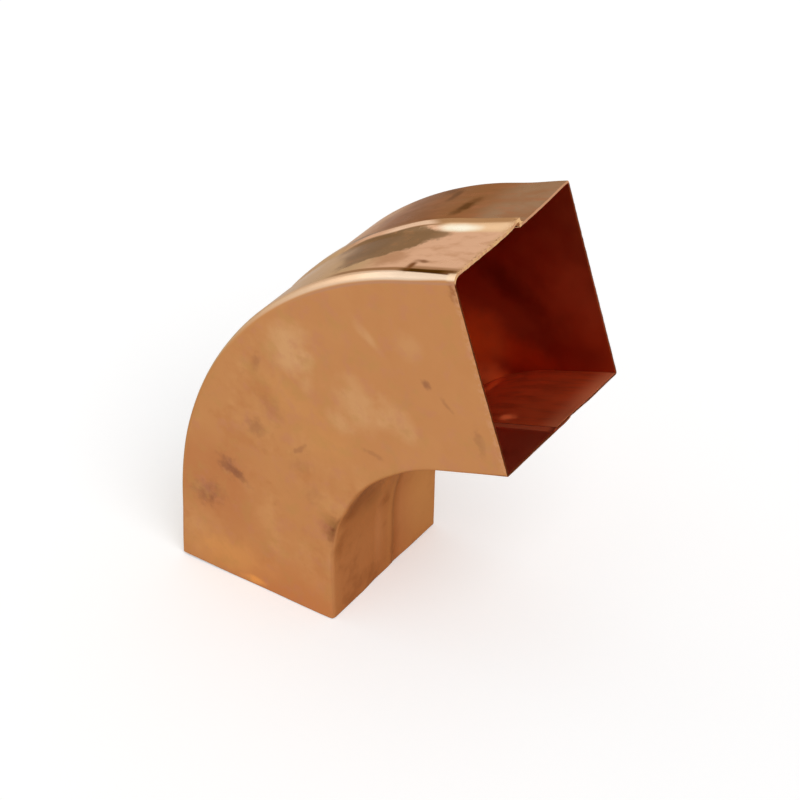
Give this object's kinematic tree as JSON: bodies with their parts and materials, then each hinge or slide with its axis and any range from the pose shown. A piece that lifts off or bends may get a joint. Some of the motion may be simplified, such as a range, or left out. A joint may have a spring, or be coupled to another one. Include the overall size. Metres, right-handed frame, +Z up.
{
  "type": "square downpipe bend",
  "caption": "Square downpipe bend in sheet copper, made of pressed half shells lapped and brazed along heel and throat.",
  "frame": {"origin": "centre of the lower (spigot) end's rim plane", "axes": "+Z up the lower leg, +X towards the side that the bend turns to, Y across the duct with the rear half shell at +Y"},
  "size_m": [0.158, 0.0816, 0.1857],
  "materials": {
    "copper_front": "rolled copper, bright to satin, faintly tarnished",
    "copper_rear": "rolled copper, bright to satin, browner tarnish and dark smears",
    "braze": "bright braze metal"
  },
  "bodies": {
    "root": {"front_half_shell": "copper_front", "rear_half_shell": "copper_rear", "heel_braze_seam": "braze", "throat_braze_seam": "braze"}
  },
  "joints": []
}
